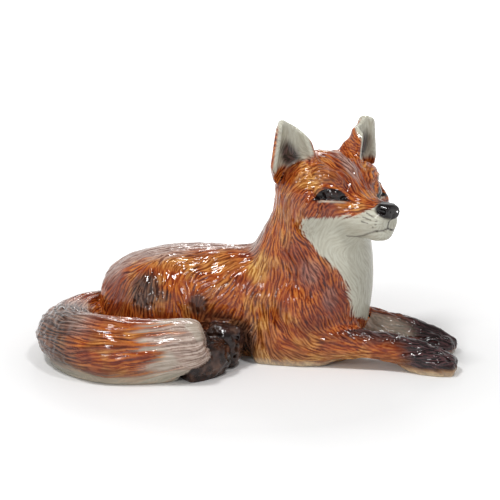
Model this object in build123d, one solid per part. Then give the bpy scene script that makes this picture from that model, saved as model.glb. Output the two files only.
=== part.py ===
from build123d import *
import os
from math import cos, pi, sin

# A lying fox in slip-cast porcelain, its head turned to its right and its tail curled
# round its right side. It is built as the potter builds it: a hollow body casting, to
# which the head, the ears, the legs, the feet and the tail are joined with slip while
# the clay is damp. Each piece is cut to the form of the one that carries it, so the
# luted faces meet exactly. Millimetres; +X is ahead of the fox, +Y its left, +Z up.

# Body casting
body_length = 45.2        # rump to the front of the chest
body_height = 17.0        # ground to the back
body_width = 16.6         # across the ribs
rump_fillet = 2.4
neck_height = 27.0        # ground to the cut that the head sits on
neck_depth = 17.4         # nape to throat
neck_width = 15.0
haunch_diameter = 16.8
haunch_bulge = 1.7        # thigh standing out from the ribs
shoulder_diameter = 15.2
shoulder_bulge = 1.0
casting_wall = 2.2        # least thickness left by the slip on the mould
vent_diameter = 2.6       # lets the steam out of the hollow body in the kiln
ground_sink = 1.2         # depth of clay rubbed off so that a piece sits flat

# Head, with its turn and tilt on the neck
head_length = 21.4
head_width = 16.0
head_height = 13.2
head_turn = 36.0          # degrees to the fox's right
head_tilt = 6.0           # degrees, left ear down
eye_diameter = 4.0
eye_bulge = 0.45
nose_width = 3.2
nose_height = 2.3
nose_length = 2.4
nose_fillet = 0.7

# Ears
ear_height = 8.0
ear_width = 8.0
ear_thickness = 1.1
ear_curl = 3.4            # radius of the cup at its foot
ear_swing = 24.0          # degrees, cup turned outwards

# Legs and feet
foreleg_length = 31.8     # back of the elbow to the claws
foreleg_width = 6.4
foreleg_height = 7.8
foreleg_spacing = 11.4    # between the two legs' middle lines
foreleg_stagger = 1.6     # the left paw lies this far behind the right one
foreleg_turns = {-1: 3.5, 1: -1.0}      # degrees to the fox's left
hind_foot_length = 7.8
hind_foot_width = 6.6
hind_foot_height = 5.6
toe_groove = 0.4          # width of the cuts between the toes
toe_groove_radius = 3.0
toe_groove_depth = 1.0
paw_fillet = 1.1

# Tail
tail_width = 10.4
tail_height = 10.0
tail_fillet = 1.6

overrun = 10.0            # how far a cutter reaches past the clay
toe_count = 4

ahead, left, above = Vector(1, 0, 0), Vector(0, 1, 0), Vector(0, 0, 1)


def ring(centre, side, up, half_width, half_height):
    """A closed cross-section of the clay."""
    plane = Plane(origin=centre, x_dir=side, z_dir=side.cross(up))
    return Wire([Edge.make_ellipse(half_width, half_height, plane)])


def skin(rings):
    """The solid through the rings, with a flat end at both."""
    return Solid.make_loft(rings)


def rounded(piece, direction, radius):
    """The piece with the rim of its end in that direction rounded."""
    rim = piece.faces().sort_by(lambda face: face.center().dot(direction))[-1].edges()
    return piece.fillet(radius, rim)


def sit_flat(piece):
    """Rubs the piece flat where it stands."""
    reach = body_length + foreleg_length + overrun
    return piece - Pos(0, 0, -reach / 2) * Box(2 * reach, 2 * reach, reach)


# Trunk, rump to chest. Each row: x from the rump as a share of the body's length, the
# back's height as a share of the body's height, the half width as a share of its width.
trunk_shares = [
    (0.000, 0.64, 0.27),
    (0.100, 0.84, 0.45),
    (0.250, 0.95, 0.51),
    (0.460, 0.985, 0.49),
    (0.660, 1.02, 0.46),
    (0.860, 0.80, 0.36),
]
# Neck, ground to head. Each row: height as a share of the neck's, nape's x and throat's
# x behind the chest as shares of its depth, and the half width of its width.
neck_shares = [
    (-0.05, 0.95, 0.24, 0.40),
    (0.24, 1.14, 0.04, 0.47),
    (0.50, 1.17, 0.00, 0.50),
    (0.72, 1.03, 0.03, 0.48),
    (1.00, 0.91, 0.20, 0.43),
]
chest_x_share = 0.975     # the chest's front, along the body
haunch_place_shares = (0.240, 0.41)           # along and above, of the body
shoulder_place_shares = (0.735, 0.52)
cavity_shares = (0.16, 0.84)                  # ends along the body
cavity_height_share = 0.46


def trunk_form():
    rings = []
    for x, top, half in trunk_shares:
        middle = (top * body_height - ground_sink) / 2
        centre = Vector(x * body_length, 0, middle)
        rings.append(ring(centre, left, above, half * body_width, middle + ground_sink))
    return rounded(skin(rings), ahead * -1, rump_fillet)


def neck_form():
    rings = []
    for height, nape, throat, half in neck_shares:
        middle = chest_x_share * body_length - (nape + throat) / 2 * neck_depth
        centre = Vector(middle, 0, height * neck_height)
        rings.append(ring(centre, left, ahead, half * neck_width,
                          (nape - throat) / 2 * neck_depth))
    return skin(rings)


def muscle(shares, side, diameter, bulge):
    """The round of a thigh or an upper arm, out from the ribs by its bulge."""
    along, high = shares
    beside = side * (body_width / 2 + bulge - diameter / 2)
    return Pos(along * body_length, beside, high * body_height) * Sphere(diameter / 2)


def body_form():
    """The body casting before it is hollowed."""
    muscles = []
    for side in (-1, 1):
        muscles.append(muscle(haunch_place_shares, side, haunch_diameter, haunch_bulge))
        muscles.append(muscle(shoulder_place_shares, side, shoulder_diameter,
                              shoulder_bulge))
    return sit_flat(trunk_form().fuse(neck_form(), *muscles))


def hollow():
    """The space that the drained slip leaves, and the vent that opens it below."""
    back, front = (share * body_length for share in cavity_shares)
    section = Ellipse(cavity_height_share * body_height - casting_wall,
                      cavity_height_share * body_width - casting_wall)
    level = body_height / 2
    space = Pos(back, 0, level) * Rot(0, 90, 0) * extrude(section, front - back)
    vent = Pos((back + front) / 2, 0, 0) * Cylinder(vent_diameter / 2, body_height)
    return space + vent


# Head. Each row: the distance ahead of the ears, the half width, the top and the jaw,
# as shares of the head's length, width and height, from the nape to the nose.
head_shares = [
    (-0.24, 0.34, 0.26, -0.28),
    (-0.10, 0.50, 0.42, -0.42),
    (0.06, 0.53, 0.44, -0.50),
    (0.22, 0.45, 0.36, -0.50),
    (0.36, 0.31, 0.16, -0.47),
    (0.52, 0.20, 0.03, -0.45),
    (0.69, 0.13, -0.04, -0.38),
]
nape_fillet_share = 0.09      # of the head's width
head_place_shares = (0.79, 0.13, 0.985)       # along and beside the body, up the neck
nose_place_shares = (0.64, -0.075)
eye_place_shares = (0.28, 0.315, 0.045)
eye_swing = 58.0              # degrees from straight ahead


def head_place():
    along, beside, high = head_place_shares
    seat = Pos(along * body_length, beside * body_width, high * neck_height)
    return seat * Rot(0, 0, -head_turn) * Rot(-head_tilt, 0, 0)


def on_head(along, beside, high):
    return Pos(along * head_length, beside * head_width, high * head_height)


def nose():
    section = Rot(0, 90, 0) * RectangleRounded(nose_height, nose_width, nose_height / 2.2)
    pad = extrude(section, nose_length)
    along, high = nose_place_shares
    return on_head(along, 0, high) * rounded(pad, ahead, nose_fillet)


def eye(side):
    """An eyeball sunk in the head, of which the middle stands out."""
    along, beside, high = eye_place_shares
    place = on_head(along, side * beside, high) * Rot(0, 0, side * eye_swing)
    return place * Pos(eye_bulge - eye_diameter / 2, 0, 0) * Sphere(eye_diameter / 2)


def head_form():
    rings = []
    for x, half, top, jaw in head_shares:
        centre = Vector(x * head_length, 0, (top + jaw) / 2 * head_height)
        rings.append(ring(centre, left, above, half * head_width,
                          (top - jaw) / 2 * head_height))
    skull = rounded(skin(rings), ahead * -1, nape_fillet_share * head_width)
    return head_place() * skull.fuse(nose(), eye(-1), eye(1))


ear_base_shares = {              # along, beside and above, of the head
    -1: (-0.06, 0.41, 0.24),
    1: (-0.06, 0.355, 0.24),
}
ear_splays = {-1: 12.0, 1: -4.0}     # degrees, tip outwards
ear_sunk_share = 0.25         # of the ear's height, inside the head
ear_taper_share = 0.35        # the cup's radius at the tip, of that at the foot
# The outline's points out from the ear's middle and up, as shares of the ear's sizes.
ear_outline_shares = [(-0.50, -0.25), (-0.50, 0.20), (-0.27, 0.70), (0.14, 1.00),
                      (0.42, 0.74), (0.50, 0.30), (0.34, -0.25)]


def ear(side):
    """A pointed leaf cut from a sheet that curls forward into a cup."""
    points = [(0, side * out * ear_width, up * ear_height) for out, up in ear_outline_shares]
    foot_in, bend_in, inner, tip, outer, bend_out, foot_out = points
    outline = Wire([Line(foot_in, bend_in), ThreePointArc(bend_in, inner, tip),
                    ThreePointArc(tip, outer, bend_out), Line(bend_out, foot_out),
                    Line(foot_out, foot_in)])
    depth = ear_curl + ear_thickness
    leaf = extrude(Pos(-ear_thickness, 0, 0) * Face(outline), depth, dir=(1, 0, 0))
    foot, tip_radius = ear_curl + ear_thickness, ear_taper_share * ear_curl + ear_thickness
    rise = (1 + ear_sunk_share) * ear_height
    sheet = Cone(foot, tip_radius, rise)
    sheet = sheet - Cone(foot - ear_thickness, tip_radius - ear_thickness, rise)
    sheet = Pos(ear_curl, 0, (1 - ear_sunk_share) / 2 * ear_height) * sheet
    lean = Rot(-side * ear_splays[side], 0, 0) * Rot(0, 0, side * ear_swing)
    along, beside, high = ear_base_shares[side]
    return head_place() * on_head(along, side * beside, high) * lean * (sheet & leaf)


# Foreleg. Each row: distance from the elbow, the half width, the top's height, and the
# underside's height, as shares of the leg's length, width and height.
foreleg_shares = [
    (0.00, 0.42, 0.76, -0.04),
    (0.18, 0.50, 0.94, -0.06),
    (0.42, 0.38, 0.70, 0.11),
    (0.64, 0.32, 0.58, 0.18),
    (0.82, 0.41, 0.53, -0.02),
    (1.00, 0.37, 0.30, -0.06),
]
elbow_x_share = 0.585      # along the body
toe_spread_share = 0.5     # of a toe, left over at the paw's two edges
hind_paw_shares = [
    (0.00, 0.32, 0.44, -0.36),
    (0.45, 0.48, 0.54, -0.48),
    (1.00, 0.42, 0.22, -0.50),
]


def paw(rows, length, width, height):
    """A leg or foot along +X, its end rounded and cut into toes."""
    rings = []
    for x, half, top, under in rows:
        centre = Vector(x * length, 0, (top + under) / 2 * height)
        rings.append(ring(centre, left, above, half * width, (top - under) / 2 * height))
    limb = rounded(rounded(skin(rings), ahead, paw_fillet), ahead * -1, paw_fillet)
    out = toe_groove_radius - toe_groove_depth
    pitch = width / (toe_count + toe_spread_share)
    cuts = []
    for i in range(1, toe_count):
        beside = (i - toe_count / 2) * pitch
        cuts.append(Pos(length + out * cos(pi / 4), beside, rows[-1][2] * height
                        + out * sin(pi / 4)) * Rot(90, 0, 0)
                    * Cylinder(toe_groove_radius, toe_groove))
    return limb.cut(*cuts)


def foreleg(side):
    back = foreleg_stagger if side > 0 else 0
    place = Pos(elbow_x_share * body_length - back, side * foreleg_spacing / 2, 0)
    limb = paw(foreleg_shares, foreleg_length, foreleg_width, foreleg_height)
    return sit_flat(place * Rot(0, 0, foreleg_turns[side]) * limb)


hind_paw_place_shares = {        # along, beside and above, of the body
    -1: (0.395, -0.50, 0.22),
    1: (0.520, -0.72, 0.15),
}
hind_paw_turns = {-1: 20.0, 1: 133.0}         # degrees to the right
hind_paw_rolls = {-1: 80.0, 1: 0.0}           # degrees, the right paw lies on its side


def hind_foot(side):
    along, beside, high = hind_paw_place_shares[side]
    heel = Pos(along * body_length, beside * body_width, high * body_height)
    place = heel * Rot(0, 0, -hind_paw_turns[side]) * Rot(hind_paw_rolls[side], 0, 0)
    return sit_flat(place * paw(hind_paw_shares, hind_foot_length, hind_foot_width,
                                hind_foot_height))


# Tail. Each row: along and beside the body, the height of its middle, the half width
# and the half height, as shares of the body's length and width and of the tail's own.
tail_shares = [
    (0.070, 0.05, 0.50, 0.24, 0.26),
    (-0.025, -0.12, 0.45, 0.36, 0.34),
    (-0.056, -0.44, 0.41, 0.44, 0.40),
    (-0.026, -0.82, 0.41, 0.50, 0.45),
    (0.080, -1.06, 0.42, 0.52, 0.50),
    (0.280, -1.09, 0.43, 0.49, 0.49),
    (0.400, -1.04, 0.52, 0.42, 0.43),
    (0.480, -0.97, 0.62, 0.27, 0.31),
]


def tail_form():
    path = [Vector(x * body_length, y * body_width, z * tail_height)
            for x, y, z, _, _ in tail_shares]
    rings = []
    for i, (_, _, _, half, tall) in enumerate(tail_shares):
        along = path[min(i + 1, len(path) - 1)] - path[max(i - 1, 0)]
        side = above.cross(along).normalized()
        up = along.cross(side).normalized()
        rings.append(ring(path[i], side, up, half * tail_width, tall * tail_height))
    return sit_flat(rounded(skin(rings), ahead, tail_fillet))


def build():
    body = body_form()
    head = head_form()
    right_foot = hind_foot(-1) - body
    left_foot = hind_foot(1).cut(body, right_foot)
    pieces = {"body_casting": body - hollow(), "head_casting": head - body,
              "hind_foot_right": right_foot, "hind_foot_left": left_foot,
              "tail": tail_form().cut(body, right_foot, left_foot)}
    for name, side in (("right", -1), ("left", 1)):
        pieces[f"foreleg_{name}"] = foreleg(side) - body
        pieces[f"ear_{name}"] = ear(side).cut(head, body)
    return pieces


def main():
    """Writes each piece, with the origin on the ground below the fox's middle."""
    os.makedirs("parts", exist_ok=True)
    pieces = build()
    middle = Compound(list(pieces.values())).bounding_box().center()
    for name, piece in pieces.items():
        export_step(Pos(-middle.X, -middle.Y, 0) * piece, f"parts/{name}.step")


if __name__ == "__main__":
    main()
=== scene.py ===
import bpy
import math
import numpy as np
import openvdb as vdb
from mathutils import Matrix, Vector
from mathutils.geometry import tessellate_polygon


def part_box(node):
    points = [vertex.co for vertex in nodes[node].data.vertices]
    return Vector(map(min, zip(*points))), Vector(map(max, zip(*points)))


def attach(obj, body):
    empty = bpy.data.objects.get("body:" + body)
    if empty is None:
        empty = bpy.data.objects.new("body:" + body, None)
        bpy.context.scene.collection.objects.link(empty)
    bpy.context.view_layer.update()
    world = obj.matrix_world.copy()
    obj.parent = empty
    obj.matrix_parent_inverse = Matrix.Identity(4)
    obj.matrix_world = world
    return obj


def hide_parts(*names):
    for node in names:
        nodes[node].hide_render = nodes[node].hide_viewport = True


# A lying fox in painted porcelain. Its pieces are modelled as one skin of clay, in
# millimetres: the casting's solids are read into a block of distances, their joints are
# smoothed with slip, the face and paws are modelled on them, and the coat is combed in.
# Then the skin is cut into the object's own pieces again. +X is ahead, +Y its left.

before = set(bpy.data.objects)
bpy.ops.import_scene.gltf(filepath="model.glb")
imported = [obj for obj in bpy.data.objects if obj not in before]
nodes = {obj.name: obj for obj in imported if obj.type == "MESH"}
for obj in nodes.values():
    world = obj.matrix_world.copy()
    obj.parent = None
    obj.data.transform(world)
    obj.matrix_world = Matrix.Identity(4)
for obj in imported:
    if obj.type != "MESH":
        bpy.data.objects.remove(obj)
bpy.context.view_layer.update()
metre = 0.001
bodyLow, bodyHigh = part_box("body_casting")
# Millimetres from the rump's end, the fox's middle line and the ground, all through
origin = np.array([bodyLow[0], (bodyLow[1] + bodyHigh[1]) / 2, 0.0]) / metre

# mm: the grids' steps, the room round the fox, how far distances are kept, the base's rim
clay = {"coarse": 0.30, "fine": 0.15, "quickFine": 0.30, "margin": 1.5, "band": 3.6,
        "footRound": 1.6}
vent = {"along": 22.6, "radius": 1.3, "lidLevel": 1.0, "lidReach": 1.8}      # mm
fine = clay["fine"]
coarse = clay["coarse"]


def smooth(low, high, value):
    t = np.clip((value - low) / (high - low), 0, 1)
    return t * t * (3 - 2 * t)


# The block of distances that the clay is kept in

def cornerShares(f):
    # the eight corners round places in a grid, and each corner's share of them
    for corner in range(8):
        bit = [(corner >> k) & 1 for k in range(3)]
        share = 1
        for k in range(3):
            share = share * (f[:, k] if bit[k] else 1 - f[:, k])
        yield bit, share


class Block:
    # signed distances in mm on a regular grid; below 0 is clay
    def __init__(self, first, count, step):
        self.step, self.first, self.count = step, np.asarray(first), np.asarray(count)
        self.data = None
        self.axis = [((self.first[k] + np.arange(self.count[k])) * step).astype(np.float32)
                     for k in range(3)]

    def window(self, low, high):
        # the part of the grid that holds these corners, and its points' places
        spans = []
        for k in range(3):
            a = int(np.clip(math.floor(low[k] / self.step) - self.first[k], 0, self.count[k]))
            b = int(np.clip(math.ceil(high[k] / self.step) - self.first[k] + 1, 0,
                            self.count[k]))
            spans.append(slice(a, b))
        x, y, z = (self.axis[k][spans[k]] for k in range(3))
        return tuple(spans), x[:, None, None], y[None, :, None], z[None, None, :]

    def read(self, points, outside=9.0):
        # the distances at any points
        q = points / self.step - self.first
        base = np.clip(np.floor(q).astype(int), 0, self.count - 2)
        f = np.clip(q - base, 0, 1)
        total = 0
        for bit, share in cornerShares(f):
            total = total + share * self.data[tuple(base[:, k] + bit[k] for k in range(3))]
        far = np.any((q < -1) | (q > self.count), axis=1)
        return np.where(far, outside, total)


def blockRound(low, high, step):
    first = np.floor(low / step).astype(int)
    return Block(first, np.ceil(high / step).astype(int) - first + 1, step)


def blend(a, b, width):
    # the lesser of two distances, with the crease filled as slip fills it
    if width <= 0:
        return np.minimum(a, b)
    h = np.clip(0.5 + 0.5 * (b - a) / width, 0, 1)
    return b + (a - b) * h - width * h * (1 - h)


def soften(data, sigma, step):
    # a sponge over damp clay: a bell-shaped mean along each axis in turn
    reach = int(math.ceil(2.5 * sigma / step))
    if reach < 1:
        return data
    bell = np.exp(-0.5 * (np.arange(-reach, reach + 1) * step / sigma) ** 2)
    bell /= bell.sum()
    for axis in range(3):
        size = data.shape[axis]
        pads = [(reach, reach) if k == axis else (0, 0) for k in range(3)]
        wide = np.pad(data, pads, mode="edge")
        out = np.zeros_like(data)
        for k, weight in enumerate(bell):
            part = [slice(None)] * 3
            part[axis] = slice(k, k + size)
            out += np.float32(weight) * wide[tuple(part)]
        data = out
    return data


def nodePolygons(name):
    mesh = nodes[name].data
    mesh.calc_loop_triangles()
    points = np.empty(len(mesh.vertices) * 3, np.float32)
    mesh.vertices.foreach_get("co", points)
    corners = np.empty(len(mesh.loop_triangles) * 3, np.int32)
    mesh.loop_triangles.foreach_get("vertices", corners)
    points = points.reshape(-1, 3) / metre - origin.astype(np.float32)
    return points, corners.reshape(-1, 3).astype(np.uint32)


def nodeBlock(name):
    points, triangles = nodePolygons(name)
    if name == "body_casting":      # a lid in the vent, so that the hollow counts as clay
        lid = np.array([(vent["along"] + a * vent["lidReach"], b * vent["lidReach"],
                         vent["lidLevel"])
                        for a, b in ((-1, -1), (1, -1), (1, 1), (-1, 1))], np.float32)
        n = len(points)
        points = np.vstack([points, lid])
        extra = np.array([(n, n + 1, n + 2), (n, n + 2, n + 3)], np.uint32)
        triangles = np.vstack([triangles, extra])
    reach = clay["band"]
    block = blockRound(points.min(0) - reach, points.max(0) + reach, coarse)
    grid = vdb.FloatGrid.createLevelSetFromPolygons(
        points, triangles=triangles, transform=vdb.createLinearTransform(voxelSize=coarse),
        halfWidth=reach / coarse)
    block.data = np.empty(tuple(block.count), np.float32)
    grid.copyToArray(block.data, ijk=tuple(int(v) for v in block.first))
    return block


blocks = {name: nodeBlock(name) for name in nodes}
lowest = np.min([np.array(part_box(n)[0]) for n in nodes], axis=0) / metre - origin
highest = np.max([np.array(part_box(n)[1]) for n in nodes], axis=0) / metre - origin
print("clay: read", len(blocks), "solids")

# How much each piece is sponged, and how wide the slip is at its joint, mm
joints = [
    ("body_casting", 0.75, 0.0), ("head_casting", 0.40, 1.6), ("foreleg_right", 0.30, 1.4),
    ("foreleg_left", 0.30, 1.4), ("tail", 0.40, 0.30), ("hind_foot_right", 0.25, 0.35),
    ("hind_foot_left", 0.25, 0.25), ("ear_right", 0.20, 0.8), ("ear_left", 0.20, 0.8),
]

rough = blockRound(lowest - clay["margin"], highest + clay["margin"], coarse)
rough.data = np.full(tuple(rough.count), clay["band"], np.float32)
for name, sponge, slip in joints:
    block = blocks[name]
    data = soften(block.data, sponge, coarse)
    # the two grids share their steps, so one sits in the other without resampling
    shift = block.first - rough.first
    target, source = [], []
    for k in range(3):
        a, b = max(shift[k], 0), min(shift[k] + block.count[k], rough.count[k])
        target.append(slice(a, b))
        source.append(slice(a - shift[k], b - shift[k]))
    target, source = tuple(target), tuple(source)
    rough.data[target] = blend(rough.data[target], data[source], slip)
print("clay: joined")


def finer(block, step):
    # the same distances on a grid of half the step
    if step == block.step:
        return block
    data = block.data
    for axis in range(3):
        data = np.moveaxis(data, axis, 0)
        wide = np.empty((2 * data.shape[0] - 1,) + data.shape[1:], np.float32)
        wide[::2] = data
        wide[1::2] = (data[1:] + data[:-1]) / 2
        data = np.moveaxis(wide, 0, axis)
    out = Block(block.first * 2, data.shape, step)
    out.data = np.ascontiguousarray(data)
    return out


skin = finer(rough, fine)


# The modelling tools

def turned(yaw=0.0, pitch=0.0, roll=0.0):
    # degrees; the columns are the tool's own axes
    m = (Matrix.Rotation(math.radians(yaw), 3, "Z") @ Matrix.Rotation(math.radians(pitch), 3, "Y")
         @ Matrix.Rotation(math.radians(roll), 3, "X"))
    return np.array(m, np.float32)


def ball(centre, radii, axes):
    centre, radii = np.asarray(centre, np.float32), np.asarray(radii, np.float32)

    def shape(x, y, z):
        d = (x - centre[0], y - centre[1], z - centre[2])
        d = tuple(d[0] * axes[0, k] + d[1] * axes[1, k] + d[2] * axes[2, k] for k in range(3))
        k0 = np.sqrt(sum((d[k] / radii[k]) ** 2 for k in range(3)))
        k1 = np.sqrt(sum((d[k] / radii[k] ** 2) ** 2 for k in range(3)))
        return k0 * (k0 - 1) / np.maximum(k1, 1e-6)
    reach = float(radii.max())
    return shape, centre - reach, centre + reach


def coil(points):
    # a roll of clay along the points, each (x, y, z, radius)
    points = np.asarray(points, np.float32)

    def shape(x, y, z):
        least = None
        for a, b in zip(points[:-1], points[1:]):
            ab = b[:3] - a[:3]
            t = ((x - a[0]) * ab[0] + (y - a[1]) * ab[1] + (z - a[2]) * ab[2]) / (ab @ ab)
            t = np.clip(t, 0, 1)
            d = np.sqrt((x - a[0] - t * ab[0]) ** 2 + (y - a[1] - t * ab[1]) ** 2
                        + (z - a[2] - t * ab[2]) ** 2) - (a[3] + t * (b[3] - a[3]))
            least = d if least is None else np.minimum(least, d)
        return least
    reach = points[:, 3].max()
    return shape, points[:, :3].min(0) - reach, points[:, :3].max(0) + reach


def model(tool, width, cut=False):
    # lays the tool's form on the clay, or cuts it out, with a soft edge
    shape, low, high = tool
    part, x, y, z = skin.window(low - width - 2 * fine, high + width + 2 * fine)
    form = shape(x, y, z).astype(np.float32)
    here = skin.data[part]
    skin.data[part] = -blend(-here, form, width) if cut else blend(here, form, width)


def modelForm(form, seat, axes, side=1):
    def placed(point):
        return seat + axes @ np.array((point[0], side * point[1], point[2]), np.float32)
    if "roll" in form:
        tool = coil([(*placed(row), row[3]) for row in form["roll"]])
    else:
        yaw, pitch = form.get("turn", (0, 0))
        tool = ball(placed(form["middle"]), form["radii"], axes @ turned(side * yaw, pitch))
    model(tool, form["edge"], form.get("cut", False))


def modelForms(forms, frameOf):
    for form in forms.values():
        for side in (1,) if form.get("single") else (1, -1):
            modelForm(form, *frameOf(side), side)


# The forms stand in their piece's own frame, in mm ahead, to the fox's left and up, and are
# mirrored unless single. A roll goes through points that each have a radius, and a ball has
# a middle, radii and maybe a turn. The edge is how far the clay is smoothed round them.
headSeat = np.array((35.71, 2.16, 26.6), np.float32)
headTurn = turned(yaw=-36, roll=-6)
headForms = {
    "brow": {"middle": (5.0, 4.3, 2.6), "radii": (2.6, 1.7, 1.3), "turn": (-40, 20),
             "edge": 1.2},
    "cheek": {"middle": (3.4, 6.6, -2.4), "radii": (3.4, 2.0, 3.4), "turn": (20, 0),
              "edge": 2.0},
    "eye socket": {"middle": (7.4, 5.2, 0.35), "radii": (2.5, 0.95, 1.0), "turn": (-46, 0),
                   "edge": 0.7, "cut": True},
    "eye": {"middle": (6.7, 4.2, 0.3), "radii": (1.75, 1.3, 1.1), "turn": (-46, 0),
            "edge": 0.15},
    "lower lid": {"roll": [(5.1, 6.45, -0.6, 0.25), (6.2, 5.85, -0.85, 0.36),
                           (7.5, 4.75, -0.8, 0.36), (8.9, 3.2, -0.4, 0.22)], "edge": 0.2},
    "upper lid": {"roll": [(4.9, 6.4, -0.2, 0.25), (5.8, 5.7, 1.15, 0.38),
                           (7.0, 4.5, 1.45, 0.38), (8.4, 3.3, 0.5, 0.25)], "edge": 0.35},
    "lip": {"middle": (12.5, 1.15, -2.4), "radii": (2.0, 1.2, 1.4), "edge": 0.9},
    "chin": {"middle": (12.9, 0, -4.6), "radii": (2.0, 1.7, 1.1), "edge": 0.8, "single": True},
    "nose": {"middle": (13.9, 0, -0.75), "radii": (1.55, 1.9, 1.2), "edge": 0.35,
             "single": True},
    "flat top of the nose": {"middle": (13.9, 0, 2.0), "radii": (3.2, 3.2, 1.75),
                             "edge": 0.4, "cut": True, "single": True},
    "front of the nose": {"middle": (21.9, 0, -1.0), "radii": (6.2, 6.2, 6.2),
                          "edge": 0.4, "cut": True, "single": True},
    "nostril": {"roll": [(15.35, 0.75, -0.9, 0.30), (15.0, 1.35, -1.0, 0.40),
                         (14.3, 1.85, -0.8, 0.22)], "edge": 0.15, "cut": True},
    "philtrum": {"roll": [(15.6, 0, -1.4, 0.14), (15.2, 0, -3.3, 0.10)], "edge": 0.15,
                 "cut": True},
    "mouth": {"roll": [(15.0, 0, -3.8, 0.10), (14.2, 1.75, -4.0, 0.10),
                       (12.6, 2.45, -4.7, 0.10), (10.4, 2.9, -5.2, 0.10),
                       (8.6, 3.3, -5.3, 0.08)], "edge": 0.15, "cut": True},
}
modelForms(headForms, lambda side: (headSeat, headTurn))

# Ears: cups round an axis of their own, as the casting's are
earSet = {"height": 8.0, "curl": 3.4, "taper": 0.35, "sunk": 0.25, "swing": 24.0,
          "place": {-1: (-1.28, 6.56, 3.17), 1: (-1.28, 5.68, 3.17)},
          "splay": {-1: 12.0, 1: -4.0}}
earForms = {
    "blunt tip": {"roll": [(1.3, 1.0, 7.3, 0.6), (1.7, 1.4, 6.2, 0.55)], "edge": 0.5},
    "fur at the foot": {"roll": [(2.7, -1.0, -0.6, 1.1), (1.6, -3.0, 0.8, 1.2)], "edge": 0.9},
    "left ear's wide back": {"roll": [(0.2, -3.0, -0.8, 1.3), (0.2, -2.4, 1.2, 1.0),
                                      (0.3, -1.7, 3.2, 0.6)], "edge": 1.6, "single": True},
    "left ear's leaning tip": {"middle": (0.5, -0.7, 8.3), "radii": (2.2, 2.2, 2.2),
                               "edge": 0.5, "cut": True, "single": True},
}


def earFrame(side):
    along, beside, high = earSet["place"][side]
    seat = headSeat + headTurn @ np.array((along, side * beside, high), np.float32)
    lean = turned(roll=-side * earSet["splay"][side])
    return seat, headTurn @ lean @ turned(yaw=side * earSet["swing"])


modelForms(earForms, earFrame)


# Toes. A paw's frame: where it starts, which way it points, to its left and up
def pawFrame(start, turn, roll):
    return np.array(start, np.float32), turned(yaw=-turn) @ turned(roll=roll)


pawFrames = {"foreleg_right": pawFrame((26.44, -5.70, 0), -3.5, 0),
             "foreleg_left": pawFrame((24.84, 5.70, 0), 1.0, 0),
             "hind_foot_right": pawFrame((17.85, -8.30, 3.74), 20, 80),
             "hind_foot_left": pawFrame((23.50, -11.95, 2.55), 133, 0)}


# Each row of a roll: how far ahead, how much less far at the outer toes, its share of the
# toe's place beside the paw's middle, the height and the roll's radius
forePaw = {
    "toe": {"beside": (-1.75, -0.6, 0.6, 1.75), "edge": 0.30,
            "roll": [(26.5, 0, 0.9, 2.75, 0.72), (28.8, 0, 1, 2.55, 0.80),
                     (30.6, 0.25, 1, 1.25, 0.78)]},
    "groove": {"beside": (-1.18, 0.0, 1.18), "edge": 0.25, "cut": True,
               "roll": [(26.8, 0, 0.9, 3.75, 0.12), (29.2, 0, 1, 3.25, 0.22),
                        (31.6, 0, 1, 1.5, 0.26)]},
    "claw": {"beside": (-1.75, -0.6, 0.6, 1.75), "edge": 0.1,
             "roll": [(31.0, 0.25, 1, 1.35, 0.30), (31.75, 0.25, 1, 0.65, 0.12)]},
}
hindPaw = {
    "toe": {"beside": (-2.05, -0.75, 0.7, 1.95), "edge": 0.30,
            "roll": [(2.4, 0, 0.8, 1.5, 0.9), (4.6, 0, 1, 1.3, 1.05),
                     (6.6, 0.22, 1, -0.2, 1.0)]},
    "groove": {"beside": (-1.4, 0.0, 1.35), "edge": 0.25, "cut": True,
               "roll": [(2.0, 0, 0.8, 2.75, 0.15), (4.8, 0, 1, 2.6, 0.28),
                        (7.6, 0, 1, 0.0, 0.32)]},
}


def modelToes(paw, name):
    for form in paw.values():
        for beside in form["beside"]:
            roll = [(ahead - less * beside ** 2, share * beside, high, radius)
                    for ahead, less, share, high, radius in form["roll"]]
            modelForm({**form, "roll": roll}, *pawFrames[name])


# Forelegs, in the whole fox's frame, as the body is too
legForms = {
    "near forearm": {"roll": [(34, -5.0, 4.0, 2.0), (42, -4.7, 4.4, 1.9),
                              (47.5, -4.3, 3.9, 1.7), (52, -4.1, 3.2, 1.3)],
                     "edge": 1.6, "single": True},
    "far forearm": {"roll": [(36, 5.8, 4.6, 2.0), (43, 5.8, 4.4, 2.0), (49, 5.7, 3.6, 1.6),
                             (53, 5.7, 2.6, 1.2)], "edge": 1.6, "single": True},
    "raised wrist": {"roll": [(38, -4.8, -1.2, 1.4), (46, -4.4, -0.9, 1.5),
                              (50, -4.1, -1.4, 1.2)], "edge": 1.4, "cut": True,
                     "single": True},
}
bodyForms = {
    "fold before the thigh": {"roll": [(18.6, 9.6, 14.0, 0.9), (19.4, 9.9, 10.0, 1.2),
                                       (19.0, 9.9, 5.5, 1.4)], "edge": 1.4, "cut": True},
    "fold before the shoulder": {"roll": [(33.0, 9.0, 14.0, 0.6), (37.0, 8.6, 12.0, 0.9),
                                          (41.2, 7.0, 8.8, 0.9)], "edge": 1.6, "cut": True},
    "elbow": {"middle": (29.6, 5.2, 4.2), "radii": (4.2, 2.6, 4.2), "edge": 1.6},
    "vent": {"roll": [(vent["along"], 0, -1, vent["radius"]),
                      (vent["along"], 0, 3, vent["radius"])], "edge": 0.1, "cut": True,
             "single": True},
}
wholeFrame = np.zeros(3, np.float32), np.eye(3, dtype=np.float32)
for name in ("foreleg_right", "foreleg_left"):
    modelToes(forePaw, name)
modelForms(legForms, lambda side: wholeFrame)
for name in ("hind_foot_right", "hind_foot_left"):
    modelToes(hindPaw, name)
modelForms(bodyForms, lambda side: wholeFrame)

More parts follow.
